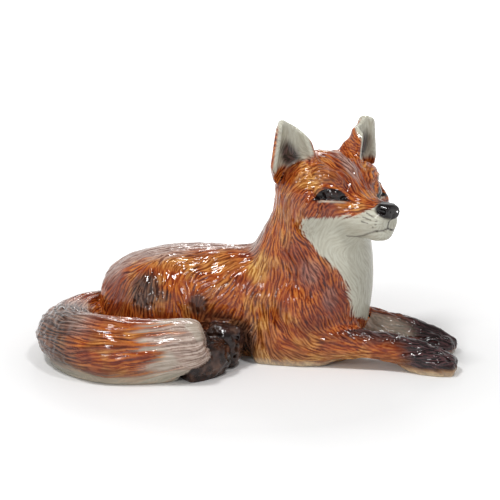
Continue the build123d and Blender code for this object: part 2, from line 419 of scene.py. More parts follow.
# rubbed flat on the ground
skin.data = -blend(-skin.data, skin.axis[2][None, None, :], clay["footRound"])
print("clay: modelled")


# The skin, taken from the block

def skinMesh(block):
    grid = vdb.FloatGrid(4 * block.step)
    grid.transform = vdb.createLinearTransform(voxelSize=block.step)
    band = np.clip(block.data, -4 * block.step, 4 * block.step)
    grid.copyFromArray(np.ascontiguousarray(band), ijk=tuple(int(v) for v in block.first))
    points, triangles, quads = grid.convertToPolygons(isovalue=0.0, adaptivity=0.0)
    return points.astype(np.float32), quads.astype(np.int64)


points, quads = skinMesh(skin)


def pointNormals(points, quads):
    across = points[quads[:, 2]] - points[quads[:, 0]]
    along = points[quads[:, 3]] - points[quads[:, 1]]
    face = np.cross(across, along)
    total = np.zeros_like(points)
    for k in range(4):
        for axis in range(3):
            total[:, axis] += np.bincount(quads[:, k], face[:, axis], len(points))
    return total / np.maximum(np.linalg.norm(total, axis=1, keepdims=True), 1e-9)


normals = pointNormals(points, quads)
if normals[points[:, 2].argmax(), 2] < 0:     # the topmost point has to look up
    quads, normals = quads[:, ::-1].copy(), -normals
    print("skin: turned outside out")
# the base is flat on the ground, and its rim goes down with it
sole = smooth(-0.55, -0.85, normals[:, 2]) * smooth(1.1, 0.7, points[:, 2])
points[:, 2] -= points[:, 2].min() * smooth(1.5, 0.3, points[:, 2])
points[:, 2] *= 1 - sole
normals = pointNormals(points, quads)
print("skin:", len(points), "points,", len(quads), "faces")


# The coat, and which way it lies

def mirrored(rows):
    # the same on the fox's other side
    return rows + [tuple(v * (-1 if k in (1, 4) else 1) for k, v in enumerate(row))
                   for row in rows if abs(row[1]) > 0.01 or abs(row[4]) > 0.01]


# place and direction, mm, right side of the body
bodyComb = mirrored([
    (25, -3, 16.5, -1, -.2, -.1), (15, -2, 16, -1, -.15, -.1), (5, -3, 13.5, -.9, -.1, -.5),
    (20, -6, 13.5, -.75, 0, -.65), (20, -8, 10, -.55, 0, -.85), (22, -8, 6, -.5, 0, -.85),
    (26, -7, 12, -.45, 0, -.9), (26, -7, 5, -.45, 0, -.9), (12, -7.5, 13.5, -.1, -.3, -1),
    (12, -9.5, 9, .05, 0, -1), (17, -8.5, 10, .25, 0, -1), (4, -7, 9, -.35, 0, -1),
    (13, -8.5, 5, .15, 0, -1), (0.5, -2, 8, -.3, 0, -1), (31.6, -6.9, 19.3, .05, -.2, -1),
    (29, -5, 24, -.1, -.3, -1), (26.5, -3, 21, -.35, -.2, -1), (34, -7, 20, .55, -.1, -.8),
    (38.5, -6.5, 16, .5, .3, -.8), (40.5, -5.5, 12, .3, .3, -.9), (33, -7.5, 11, 0, 0, -1),
    (27, -6, 15, -.1, 0, -1), (28, -6, 6, .4, 0, -.9), (33, -5.5, 4, .9, 0, -.35),
    (42, 0.0, 12, .1, 0, -1), (38, 0.0, 20, .2, 0, -1), (41, -3, 8, .2, 0, -1),
    (25.5, 0.0, 21, -.5, 0, -1),
]) + [(x, y, 3.0, .99, .11, -.02) for x in (40, 48, 56) for y in (-4.5, 7.5)]

# ahead, left and up of the head's seat
headComb = mirrored([
    (13, -1.5, .5, -1, -.1, .2), (9, -1.5, 2, -1, -.1, .4), (6, -1.5, 4.5, -1, -.3, .35),
    (2, -1.5, 6, -1, -.3, 0), (6, -4.2, 3, -.75, -.6, .1), (3.5, -6, 2.5, -.6, -.7, -.3),
    (1, -7.5, 1, -.4, -.5, -.8), (9, -3.8, -1.5, -.9, -.3, -.25),
    (6.5, -5.8, -2, -.6, -.4, -.7), (4, -7.2, -2, -.35, -.3, -.9),
    (1.5, -8, -2, -.1, -.1, -1), (7, -5.5, -3.2, -.3, -.3, -.9),
    (3.8, -7.8, -4, -.1, -.1, -1), (-1, -7.5, -2, 0, 0, -1), (11, -2.6, -4, -1, -.2, -.2),
    (7, -3, -6, -1, 0, -.1), (-3, -4, 1, -.4, 0, -1), (-1.5, -6.5, 8, -.1, 0, 1),
])
tailLine = np.array([(3.2, 0.8, 5.0), (-1.1, -2.0, 4.5), (-2.5, -7.3, 4.1), (-1.2, -13.6, 4.1),
                     (3.6, -17.6, 4.2), (12.7, -18.1, 4.3), (18.1, -17.3, 5.2),
                     (21.7, -16.1, 6.2)], np.float32)


def combs():
    rows = [np.array(row, np.float32) for row in bodyComb]
    for row in headComb:
        row = np.array(row, np.float32)
        rows.append(np.concatenate([headSeat + headTurn @ row[:3], headTurn @ row[3:]]))
    return np.array(rows)


def tailComb():
    rows = []
    for a, b in zip(tailLine[:-1], tailLine[1:]):
        for t in (0.0, 0.33, 0.67):
            rows.append(np.concatenate([a + t * (b - a), b - a]))
    return np.array(rows, np.float32)


class Flow:
    # the coat's direction anywhere near the skin, from the combs that are nearest
    step = 0.75

    def __init__(self, rows, waver):
        self.first = np.floor((lowest - 2) / self.step)
        count = (np.ceil((highest + 2) / self.step) - self.first + 1).astype(int)
        axes = [(self.first[k] + np.arange(count[k])) * self.step for k in range(3)]
        place = np.stack(np.meshgrid(*axes, indexing="ij"), -1).astype(np.float32)
        total = np.zeros_like(place)
        for row in rows:
            away = ((place - row[:3]) ** 2).sum(-1) + 0.5
            total += (row[3:] / np.linalg.norm(row[3:])) / (away ** 2)[..., None]
        flat = place.reshape(-1, 3)
        outward = np.stack([rough.read(flat + e) - rough.read(flat - e)
                            for e in np.eye(3) * coarse], -1).reshape(total.shape)
        outward /= np.maximum(np.linalg.norm(outward, axis=-1, keepdims=True), 1e-6)
        total /= np.maximum(np.linalg.norm(total, axis=-1, keepdims=True), 1e-9)
        wander = np.stack([speckle(flat, 1.9, 3 + k) for k in range(3)], -1) - 0.5
        total += waver * wander.reshape(total.shape)
        total -= outward * (outward * total).sum(-1, keepdims=True)
        self.data = total / np.maximum(np.linalg.norm(total, axis=-1, keepdims=True), 1e-9)
        self.data = self.data.astype(np.float32)
        self.top = np.array(count) - 1

    def __call__(self, places):
        q = np.rint(places / self.step - self.first).astype(np.int32)
        q = np.clip(q, 0, self.top)
        return self.data[q[:, 0], q[:, 1], q[:, 2]]


chance = np.random.default_rng(7)
grains = chance.random((64, 64, 64)).astype(np.float32)


def speckle(places, cell, turn=0):
    # soft random grains of that many mm
    q = places / np.float32(cell) + np.float32(turn * 17.3)
    base = np.floor(q)
    f = q - base
    f = f * f * (3 - 2 * f)
    i = base.astype(np.int32) & 63
    j = (i + 1) & 63
    total = 0
    for bit, share in cornerShares(f):
        x, y, z = (j[:, k] if bit[k] else i[:, k] for k in range(3))
        total = total + share * grains[x, y, z]
    return total


def strands(places, flow, cell, length, turn):
    # grains smeared along the coat make its ridges
    stride = cell * 0.6
    count = max(int(length / 2 / stride), 2)
    total = speckle(places, cell, turn)
    for sense in (1, -1):
        p = places.copy()
        for k in range(count):
            p += np.float32(sense * stride) * flow(p)
            total += speckle(p, cell, turn) * (1 - (k / count) ** 2)
    total -= total.mean()
    return total / total.std()


def spread(values, rounds):
    # each point takes the mean of the faces round it
    count = np.maximum(np.bincount(quads.ravel(), minlength=len(points)), 1)
    for _ in range(rounds):
        face = values[quads].mean(1)
        values = sum(np.bincount(quads[:, k], face, len(points)) for k in range(4)) / count
    return values.astype(np.float32)


names = list(blocks)
distances = np.stack([blocks[name].read(points) for name in names], 1)
nearest = distances.argmin(1)


def onPieces(*pieces):
    return np.isin(nearest, [names.index(piece) for piece in pieces])


onTail, isHead = onPieces("tail"), onPieces("head_casting")
isEar = onPieces("ear_right", "ear_left")
isLeg = onPieces("foreleg_right", "foreleg_left")
isHind = onPieces("hind_foot_right", "hind_foot_left")
isFarHind = onPieces("hind_foot_left")

hair, lock = np.zeros(len(points), np.float32), np.zeros(len(points), np.float32)
coatSize = {"strand": 0.18, "strandLength": 1.6, "lock": 0.65, "lockLength": 3.0,
            "patch": 2.4, "tailStrandLength": 3.6, "tailLockLength": 8.0}
for chosen, rows, waver, lengths in (
        (~onTail, combs(), 0.9, ("strandLength", "lockLength")),
        (onTail, tailComb(), 0.5, ("tailStrandLength", "tailLockLength"))):
    flow = Flow(rows, waver)
    places = points[chosen]
    hair[chosen] = strands(places, flow, coatSize["strand"], coatSize[lengths[0]], 1)
    lock[chosen] = strands(places, flow, coatSize["lock"], coatSize[lengths[1]], 2)
hair -= 0.85 * spread(hair, 5)                # only the fine strokes stay
hair /= hair.std()
patch = smooth(0.3, 0.7, speckle(points, coatSize["patch"], 12))
crest = 0.5 + 0.5 * np.tanh((0.55 + 0.75 * patch) * (hair + 0.25))   # 0 in a groove, 1 above
print("coat: combed")


# The paint: soft dabs by place

headPoints = (points - headSeat) @ headTurn
paint = {name: np.zeros(len(points), np.float32)
         for name in ("mauve", "umber", "gold", "brick", "cream", "black")}


def dab(colour, centre, radii, strength=1.0, feather=0.35, ragged=0.12, head=False,
        both=False):
    for side in ((1, -1) if both else (1,)):
        p = (headPoints if head else points) - np.array(centre, np.float32) * (1, side, 1)
        q = np.sqrt(((p / radii) ** 2).sum(1)) + ragged * 0.3 * (hair + lock)
        amount = strength * smooth(1 + feather, 1 - feather, q)
        paint[colour] = 1 - (1 - paint[colour]) * (1 - amount)


def brush(colour, places, radius, strength=1.0, feather=0.5, ragged=0.0, head=False,
          through=None, within=1.0):
    # a line of the brush through the places, laid on along one axis if that is given
    p = headPoints if head else points
    places = np.asarray(places, np.float32)
    if through is not None:
        p = p.copy()
        p[:, through] = 0
        places[:, through] = 0
    least = np.full(len(p), 99, np.float32)
    for a, b in zip(places[:-1], places[1:]):
        ab = b - a
        t = np.clip(((p - a) @ ab) / (ab @ ab), 0, 1)
        least = np.minimum(least, np.linalg.norm(p - a - t[:, None] * ab, axis=1))
    q = least / radius + ragged * 0.3 * (hair + lock)
    amount = strength * smooth(1 + feather, 1 - feather, q) * within
    paint[colour] = 1 - (1 - paint[colour]) * (1 - amount)


def cover(colour, amount):
    paint[colour] = 1 - (1 - paint[colour]) * (1 - np.clip(amount, 0, 1))


x, y, z = points.T
jitter = 0.35 * hair + 0.30 * lock

# bib: ahead of a line that runs down from the cheek, x by height
bibLine = [(0, 46), (5.5, 44.5), (7.8, 41.8), (10.7, 41.5), (14.1, 40.8), (17.1, 38.6),
           (19.7, 35.8), (22.2, 34.5), (30, 33.5)]
bibEdge = np.interp(z, [row[0] for row in bibLine], [row[1] for row in bibLine])
# cheeks and jaw: below a line along the head
cheekLine = [(-9, -12), (2.4, -9), (3.4, -4.7), (4.2, -4.2), (5.2, -3.65), (8.7, -2.96),
             (11.7, -1.82), (13.2, -0.6), (14.0, 0.0), (20, 0.3)]
cheekEdge = np.interp(headPoints[:, 0], [row[0] for row in cheekLine],
                      [row[1] for row in cheekLine])
belowCheek = smooth(-0.25, 0.25, cheekEdge - headPoints[:, 2] + 0.4 * jitter)
cover("cream", belowCheek * isHead)
cover("cream", smooth(-0.3, 0.3, x - bibEdge + 0.5 * jitter) * belowCheek
      * ~(isHead | isEar | isLeg | onTail))
# tail: a pale tip, and its pale underside
tipEdge = 14.5 + 1.8 * lock + 0.8 * hair
cover("mauve", smooth(-2.2, 2.2, x - tipEdge) * onTail * 0.9)
cover("cream", smooth(-2.2, 2.2, x - tipEdge) * onTail * (0.5 - 0.3 * smooth(0.3, 0.7, patch)))
cover("gold", smooth(3.4, 1.6, z + 0.5 * jitter) * onTail * 0.5)
cover("cream", smooth(2.4, 0.8, z + 0.5 * jitter) * onTail * 0.6)
cover("umber", smooth(5.0, -1.0, x + jitter) * smooth(-7.5, -12.0, y) * onTail * 0.9)
cover("mauve", smooth(6.5, 8.5, z) * smooth(7, 1, x) * smooth(-5.5, -8, y) * onTail * 0.8)
cover("umber", 0.35 * smooth(0.0, 1.0, lock) * smooth(9, 3, x) * onTail)
cover("umber", smooth(4.5, 1.5, z + 0.4 * lock) * smooth(14, 6, x) * onTail * 0.55)
cover("brick", smooth(-0.2, 1.6, lock) * smooth(16, 8, x) * onTail * 0.7)
# undersides
cover("gold", smooth(2.6, 0.8, z + 0.4 * jitter) * ~(onTail | isHind) * 0.8)
cover("cream", smooth(0.5, 0.1, z + 0.2 * jitter) * ~isHind * 0.3)

for colour, place, radii, strength in (
        ("mauve", (7, 0, 16.5), (9, 4.6, 3.6), 0.8), ("mauve", (18, 0, 17.6), (8, 3, 1.6), 0.5),
        ("mauve", (3, 0, 12), (3.4, 4.6, 4), 0.6),
        ("mauve", (26.2, 0, 20.5), (1.9, 3.6, 7), 0.85),
        ("umber", (9.5, -8.3, 10.6), (2.5, 2.6, 3.5), 0.95),
        ("brick", (4.2, -6.5, 9.5), (3.2, 3, 3.6), 0.8),
        ("umber", (18.0, -8, 9.0), (1.5, 2, 1.8), 0.8),
        ("umber", (12.6, -9, 10.3), (1.1, 1.5, 1.0), 0.7),
        ("umber", (21.5, -8, 6.0), (3.4, 2.5, 2.4), 0.7),
        # dark low on the belly just behind the elbow, in the crease there: painted shade
        ("umber", (25.4, -7, 3.2), (2.8, 2.5, 4), 0.9),
        ("brick", (33.4, -7.2, 17.8), (2.4, 2, 2.6), 0.7),
        ("brick", (36.2, -7, 14.6), (2.4, 2, 2.6), 0.85),
        ("brick", (39.2, -6, 11), (2.2, 2, 2.6), 0.85),
        ("mauve", (35.6, -7, 15.4), (1.6, 1.6, 2.2), 0.2),
        ("mauve", (38.6, -6.2, 11.2), (1.2, 1.6, 1.8), 0.2),
        ("brick", (36, -6.5, 8.6), (3.6, 2.5, 2.2), 0.6),
        ("gold", (27.0, -5.7, 15.2), (1.8, 2.2, 2.6), 0.9),
        ("gold", (28.6, -6.4, 4.6), (2.6, 3, 3), 0.6),
        ("gold", (15, -5, 15.2), (9, 2.5, 1.6), 0.4)):
    dab(colour, place, radii, strength, both=True)

for colour, place, radii, strength in (
        ("mauve", (5.4, 0, 4.3), (4.4, 1.1, 2.2), 0.35),
        ("brick", (4.6, 0, 4.8), (4.0, 2.2, 2.0), 0.4),
        ("brick", (8.2, -2.2, 1.6), (1.6, 1.0, 0.9), 0.7),
        ("brick", (7.4, -4.9, -2.0), (2.2, 1.4, 1.1), 0.35),
        ("gold", (3.6, -7.2, -1.6), (1.8, 1.6, 1.6), 0.3),
        ("umber", (13.6, 0, 0.4), (1.2, 1.3, 0.8), 0.5),
        ("gold", (3.2, -6.4, 1.6), (2.4, 1.8, 1.6), 0.55),
        ("gold", (10.8, -2.8, -0.9), (1.5, 1.2, 0.8), 0.5)):
    dab(colour, place, radii, strength, head=True, both=True)

# a pale patch above the far eye only: a painted highlight
dab("cream", (6.3, 5.2, 2.3), (1.3, 0.9, 0.8), 0.5, head=True)

# the coat's own unevenness
wearing = ~(isEar | isHind)
cover("gold", 0.45 * smooth(0.52, 0.80, speckle(points, 2.0, 13) + 0.10 * lock) * wearing)
cover("brick", 0.60 * smooth(0.52, 0.78, speckle(points, 2.6, 14) + 0.10 * lock) * wearing)

# paws and feet
legTop = smooth(0.2, 0.9, normals[:, 2] + 0.15 * jitter)
legX = x + 0.8 * jitter
cover("gold", isLeg * smooth(3.2, 1.6, z + 0.3 * jitter) * 0.8)
cover("cream", isLeg * smooth(1.4, 0.5, z + 0.2 * jitter) * 0.45)
cover("brick", isLeg * smooth(36, 40, x) * (y > 2) * 0.8)
cover("umber", isLeg * smooth(38, 46, x) * (y > 2) * 0.5)
cover("cream", isLeg * smooth(-0.3, -0.8, normals[:, 1]) * (y > 3) * smooth(53, 50, x) * 0.5)
cover("black", isLeg * smooth(48.5, 52.0, legX) * smooth(0.6, 1.5, z + 0.2 * jitter))
topStart = np.where(y > 2, 46.0, 37.5)
cover("black", isLeg * smooth(0, 4.5, legX - topStart) * legTop * 0.95)
cover("umber", isHind * 1.0)
cover("black", isHind * smooth(0.42, 0.62, speckle(points, 1.5, 15)) * smooth(0.8, 1.6, z) * 0.7)
cover("mauve", isHind * smooth(0.55, 0.75, speckle(points, 1.0, 16)) * 0.3)
inPaw = (points - pawFrames["hind_foot_left"][0]) @ pawFrames["hind_foot_left"][1]
claws = isFarHind * smooth(3.6, 4.6, inPaw[:, 0]) * smooth(0.5, 1.1, z)
cover("mauve", claws * 0.6)
cover("mauve", isFarHind * 0.3)
hindCrest = smooth(0.25, 0.75, speckle(points, 0.7, 17))
crest = np.where(isHind, 0.15 + 0.45 * hindCrest, crest).astype(np.float32)

# ears: pale cups with a dark hollow that is painted shade, the coat on their backs
earPaint = {-1: {"slant": -0.55, "middle": 0.0, "width": 1.35, "up": 1.9, "lean": 0.30},
            1: {"slant": 0.20, "middle": 1.3, "width": 0.75, "up": 2.3, "lean": 0.0}}
for side, name in ((-1, "ear_right"), (1, "ear_left")):
    look = earPaint[side]
    seat, axes = earFrame(side)
    inEar = (points - seat) @ axes
    inEar[:, 1] *= side                      # ahead, outwards, up
    rise = np.clip(inEar[:, 2] / earSet["height"], -0.25, 1)
    share = (rise + earSet["sunk"]) / (1 + earSet["sunk"])
    inner = earSet["curl"] * (1 - share * (1 - earSet["taper"]))
    fromAxis = np.hypot(inEar[:, 0] - earSet["curl"], inEar[:, 1])
    own = onPieces(name)
    foot = np.maximum(look["slant"] * inEar[:, 1], 0)
    above = smooth(0.0, 1.2, inEar[:, 2] - foot + 0.3 * jitter)
    inCup = smooth(0.95, 0.55, fromAxis - inner) * own * above
    rim = own * smooth(6.4, 7.6, inEar[:, 2] + 0.4 * jitter)
    cover("cream", np.maximum(inCup, rim))
    # the deep part of each cup is painted black: painted shade in the recess
    high = inEar[:, 2] - look["up"]
    across = inEar[:, 1] - look["middle"] - look["lean"] * high
    shadedHollow = np.hypot(across / look["width"], high / 2.7)
    cover("black", inCup * smooth(1.5, 0.6, shadedHollow + 0.05 * jitter) * 0.92)

# nose, mouth and whiskers
dab("black", (14.6, 0, -0.85), (1.95, 2.25, 1.42), 1.0, feather=0.1, ragged=0, head=True)
front = isHead * smooth(12.8, 13.6, headPoints[:, 0])
brush("black", [(0, 0, -1.9), (0, 0, -3.6)], 0.13, 0.8, head=True, through=0, within=front)
for side in (-1, 1):
    brush("black", [(0, 0, -3.6), (0, side * 0.8, -3.85), (0, side * 1.7, -3.95)], 0.13, 0.7,
          head=True, through=0, within=front)
    flank = isHead * (side * headPoints[:, 1] > 0.9)
    brush("black", [(14.4, 0, -3.95), (13.2, 0, -4.5), (11.7, 0, -5.2), (9.8, 0, -5.8),
                    (8.5, 0, -5.9)], 0.12, 0.55, head=True, through=1, within=flank)
    for a, b in (((13.9, -1.9), (12.6, -1.5)), ((13.6, -2.4), (12.2, -2.2)),
                 ((13.2, -3.0), (12.0, -2.9)), ((14.5, -2.4), (14.4, -2.5)),
                 ((14.4, -2.9), (14.3, -3.0)), ((14.0, -3.4), (13.9, -3.5))):
        brush("black", [(a[0], 0, a[1]), (b[0], 0, b[1])], 0.10, 0.65, head=True, through=1,
              within=flank)

# eyes: a dark almond, drawn out at both corners
eyeCorners = {"outer": (5.37, 6.67, -0.39), "inner": (8.9, 3.1, -0.15)}
for side in (-1, 1):
    outer, inner = (np.array((eyeCorners[end][0], side * eyeCorners[end][1],
                              eyeCorners[end][2]), np.float32) for end in ("outer", "inner"))
    along = (inner - outer) / np.linalg.norm(inner - outer)
    up = np.array((0, 0, 1), np.float32)
    deep = np.cross(along, up)
    deep /= np.linalg.norm(deep)
    axes = np.stack([along, np.cross(deep, along), deep], 1)
    lid = (headPoints - outer) @ axes        # along the eye, up from its corners' line
    middle = np.linalg.norm(inner - outer) / 2
    arch = 1.5 * np.clip(1 - np.abs(lid[:, 0] / middle - 0.96) ** 2.6, 0, 1) + 0.1
    shown = smooth(0.12, -0.12, lid[:, 1] - arch) * smooth(-0.32, -0.12, lid[:, 1])
    shown *= smooth(-0.5, 0.0, lid[:, 0]) * smooth(2 * middle + 0.5, 2 * middle, lid[:, 0])
    shown *= np.abs(lid[:, 2]) < 2.2
    cover("black", shown)
    iris = np.hypot(lid[:, 0] - 1.05 * middle, lid[:, 1] - 0.45)
    fleck = shown * smooth(0.95, 0.7, iris) * smooth(0.25, 0.45, iris)
    paint["black"] *= 1 - 0.3 * fleck
    paint["umber"] = np.maximum(paint["umber"], fleck)
    # a pale line along the lower lid: partly the lid's own pale rim, partly a painted highlight
    # on the glaze
    lidLineAndHighlight = smooth(-0.62, -0.42, lid[:, 1]) * smooth(-0.12, -0.30, lid[:, 1])
    lidLineAndHighlight *= smooth(0.2, 0.9, lid[:, 0]) * smooth(2 * middle, 1.6 * middle, lid[:, 0])
    cover("cream", 0.7 * lidLineAndHighlight * (np.abs(lid[:, 2]) < 2.2))
crest *= 1 - 0.75 * isHead * smooth(0.5, 1.0, paint["black"])      # smooth black
print("paint: laid")


# The coat's relief, then the pieces

relief = {"strand": 0.055, "lock": 0.15, "tailLock": 0.22, "lump": 0.30}
coatMask = np.ones(len(points), np.float32)
coatMask *= 1 - 0.9 * (isHind | isEar)
coatMask *= 1 - 0.85 * paint["black"] * (isHead | isLeg)
coatMask *= 1 - 0.88 * paint["cream"] * ~onTail
coatMask *= 1 - 0.45 * paint["cream"] * onTail
coatMask *= smooth(0.1, 0.8, z)
lockRelief = np.where(onTail, relief["tailLock"], relief["lock"])
height = coatMask * (relief["strand"] * (crest - 0.75) + lockRelief * 0.5 * (lock - 0.5))
knobbly = np.clip(paint["umber"] + 1.3 * paint["black"] * (isHind | isLeg), 0, 1.3) \
    + 0.6 * isHead * smooth(1.5, 3.0, headPoints[:, 2]) + 0.7 * isHind
bumps = speckle(points, 0.85, 9) - 0.5 + isLeg * 0.22 * np.clip(lock, -1.5, 1.5)
height += knobbly * relief["lump"] * smooth(0.1, 0.8, z) * bumps
points = points + normals * height[:, None]
points[:, 2] = np.maximum(points[:, 2], 0)
normals = pointNormals(points, quads)


seam = {"flat": 0.0001, "ground": 0.001, "hubDepth": 1.2}     # mm


def openLoops(corners, size):
    # the rings of points along which a piece is open
    edges = np.concatenate([corners[:, [k, (k + 1) % 4]] for k in range(4)])
    there = edges[:, 0] * size + edges[:, 1]
    back = edges[:, 1] * size + edges[:, 0]
    following = {}
    for a, b in edges[~np.isin(there, back)].tolist():
        following.setdefault(a, []).append(b)
    loops = []
    while following:
        loop, here = [], next(iter(following))
        while here in following:
            loop.append(here)
            after = following[here].pop()
            if not following[here]:
                del following[here]
            here = after
        loops.append(loop)
    return loops


def groundFace(loops, local):
    # the flat base within the loops, with its holes, looking down
    order = [k for loop in loops for k in loop]
    faces = []
    for corners in tessellate_polygon([[Vector(local[k].tolist()) for k in loop]
                                       for loop in loops]):
        a, b, c = (order[k] for k in corners)
        up = np.cross(local[b] - local[a], local[c] - local[a])[2] > 0
        faces.append((c, b, a) if up else (a, b, c))
    return faces


def pieceMesh(name, chosen):
    # the faces of one piece; its open joints are closed to a point inside the clay
    low = (points[quads, 2] < seam["flat"]).all(1)
    used, corners = np.unique(quads[chosen & ~low], return_inverse=True)
    corners = corners.reshape(-1, 4)
    size = len(used)
    local, leaning = points[used], normals[used]
    loops = openLoops(corners, size)
    flat = [loop for loop in loops if local[loop, 2].max() < seam["ground"]]
    caps = groundFace(flat, local) if flat else []
    hubs = []
    for loop in loops:
        if local[loop, 2].max() >= seam["ground"]:
            hub = size + len(hubs)
            hubs.append(local[loop].mean(0) - seam["hubDepth"] * leaning[loop].mean(0))
            caps += [(loop[(k + 1) % len(loop)], loop[k], hub) for k in range(len(loop))]
    caps = np.array(caps, np.int32).reshape(-1, 3)
    if hubs:
        local = np.vstack([local, hubs])
        leaning = np.vstack([leaning, np.tile((0, 0, -1), (len(hubs), 1))])
    places = (local + origin) * metre
    mesh = bpy.data.meshes.new(name)
    mesh.vertices.add(len(places))
    mesh.vertices.foreach_set("co", places.astype(np.float32).ravel())
    mesh.loops.add(corners.size + caps.size)
    mesh.loops.foreach_set("vertex_index",
                           np.concatenate([corners.ravel(), caps.ravel()]).astype(np.int32))
    mesh.polygons.add(len(corners) + len(caps))
    starts = np.concatenate([np.arange(len(corners)) * 4,
                             corners.size + np.arange(len(caps)) * 3])
    mesh.polygons.foreach_set("loop_start", starts.astype(np.int32))
    mesh.update(calc_edges=True)
    mesh.shade_smooth()
    for layer, values in list(paint.items()) + [("crest", crest), ("tuft", 0.5 + 0.2 * lock)]:
        filled = np.zeros(len(local), np.float32)
        filled[:size] = values[used]
        mesh.attributes.new(layer, "FLOAT", "POINT").data.foreach_set("value", filled)
    mesh.normals_split_custom_set_from_vertices(leaning.tolist())
    return mesh


# The glazes

def linear(code):
    value = [int(code[k:k + 2], 16) / 255 for k in (1, 3, 5)]
    value = [v / 12.92 if v <= 0.04045 else ((v + 0.055) / 1.055) ** 2.4 for v in value]
    return (*value, 1.0)


def node(tree, kind, place, settings=None, links=None):
    item = tree.nodes.new(kind)
    item.location = place
    for key, value in (settings or {}).items():
        if isinstance(key, str) and hasattr(item, key):
            setattr(item, key, value)
        else:
            item.inputs[key].default_value = value
    for key, source in (links or {}).items():
        tree.links.new(source, item.inputs[key])
    return item


# Porcelain painted under a clear glaze, dipped and fired: the colour pools in the grooves
# and thins out on the ridges, and the glaze over it gives sharp broken lights.
clearGlaze = {"ior": 1.5, "weight": 0.80, "roughness": 0.03}
# Each colour: in a groove, between, on a ridge
glazeColours = {
    "rust": ("#4d1907", "#8f3a12", "#c4722e"),
    "gold": ("#7a4415", "#b07430", "#dcae68"),
    "brick": ("#3c1009", "#6c2413", "#9e4a29"),
    "mauve": ("#67453a", "#9a7e73", "#c6b3aa"),
    "umber": ("#1d110c", "#3a251d", "#755646"),
    "cream": ("#b0ab9a", "#bdbaa9", "#c8c7b8"),
    "black": ("#0b0606", "#221314", "#54383a"),
}


def glazedPorcelain(name, settings):
    material = bpy.data.materials.new(name)
    material.use_nodes = True
    tree = material.node_tree
    tree.nodes.clear()
    place = node(tree, "ShaderNodeTexCoord", (-1400, 0)).outputs["Object"]
    mottle = node(tree, "ShaderNodeTexNoise", (-1200, -200),
                  {"Scale": 1 / (settings["mottle"] * metre), "Detail": 3.0}, {"Vector": place})
    crestField = node(tree, "ShaderNodeAttribute", (-1200, 200), {"attribute_name": "crest"})
    depth = node(tree, "ShaderNodeMath", (-1000, 100), {"operation": "MULTIPLY_ADD", 1: 0.7},
                 {0: mottle.outputs["Fac"], 2: crestField.outputs["Fac"]})
    depth = node(tree, "ShaderNodeMath", (-900, 100), {"operation": "SUBTRACT", 1: 0.35,
                                                      "use_clamp": True},
                 {0: depth.outputs[0]})
    colour = None
    for k, (layer, codes) in enumerate(glazeColours.items()):
        ramp = node(tree, "ShaderNodeValToRGB", (-800, 300 - 240 * k), {},
                    {"Fac": depth.outputs[0]})
        ramp.color_ramp.elements[0].color = linear(codes[0])
        ramp.color_ramp.elements[1].color = linear(codes[2])
        ramp.color_ramp.elements.new(0.5).color = linear(codes[1])
        if colour is None:
            colour = ramp.outputs["Color"]
            continue
        share = node(tree, "ShaderNodeAttribute", (-800, 160 - 240 * k),
                     {"attribute_name": layer})
        mix = node(tree, "ShaderNodeMix", (-500 + 60 * k, 300 - 120 * k),
                   {"data_type": "RGBA"}, {"Factor": share.outputs["Fac"]})
        tree.links.new(colour, mix.inputs[6])
        tree.links.new(ramp.outputs["Color"], mix.inputs[7])
        colour = mix.outputs[2]
    ripple = node(tree, "ShaderNodeTexNoise", (-400, -700),
                  {"Scale": 1 / (settings["ripple"] * metre), "Detail": 2.0}, {"Vector": place})
    bump = node(tree, "ShaderNodeBump", (-200, -700),
                {"Strength": 0.5, "Distance": settings["rippleDepth"] * metre},
                {"Height": ripple.outputs["Fac"]})
    rough = node(tree, "ShaderNodeMapRange", (-200, -450),
                 {"To Min": settings["roughness"] - 0.06, "To Max": settings["roughness"] + 0.06},
                 {"Value": mottle.outputs["Fac"]})
    shader = node(tree, "ShaderNodeBsdfPrincipled", (200, 0),
                  {"IOR": clearGlaze["ior"], "Specular IOR Level": 0.0,
                   "Coat Weight": clearGlaze["weight"], "Coat IOR": clearGlaze["ior"],
                   "Coat Roughness": clearGlaze["roughness"]},
                  {"Base Color": colour, "Roughness": rough.outputs["Result"],
                   "Normal": bump.outputs["Normal"], "Coat Normal": bump.outputs["Normal"]})
    node(tree, "ShaderNodeOutputMaterial", (500, 0), {}, {"Surface": shader.outputs["BSDF"]})
    return material


# mm: the paint's mottling, the glaze's ripples and their depth
glazes = {
    "rust_glaze": glazedPorcelain("glazed porcelain, painted rust", {
        "mottle": 1.6, "ripple": 0.9, "rippleDepth": 0.04, "roughness": 0.38}),
    "dark_paw_glaze": glazedPorcelain("glazed porcelain, painted dark", {
        "mottle": 1.2, "ripple": 0.7, "rippleDepth": 0.06, "roughness": 0.30}),
    "ear_glaze": glazedPorcelain("glazed porcelain, painted cream", {
        "mottle": 1.8, "ripple": 0.9, "rippleDepth": 0.01, "roughness": 0.40}),
}
pieceSlots = {"body_casting": "rust_glaze", "head_casting": "rust_glaze",
              "foreleg_right": "rust_glaze", "foreleg_left": "rust_glaze", "tail": "rust_glaze",
              "hind_foot_right": "dark_paw_glaze", "hind_foot_left": "dark_paw_glaze",
              "ear_right": "ear_glaze", "ear_left": "ear_glaze"}

faceNearest = distances[quads].mean(1).argmin(1)
for name, slot in pieceSlots.items():
    mesh = pieceMesh(name, faceNearest == names.index(name))
    piece = bpy.data.objects.new("glazed_" + name, mesh)
    bpy.context.scene.collection.objects.link(piece)
    mesh.materials.append(glazes[slot])
    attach(piece, "root")
    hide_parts(name)
    print("piece:", name, len(mesh.polygons), "faces")


# Stand, light and camera

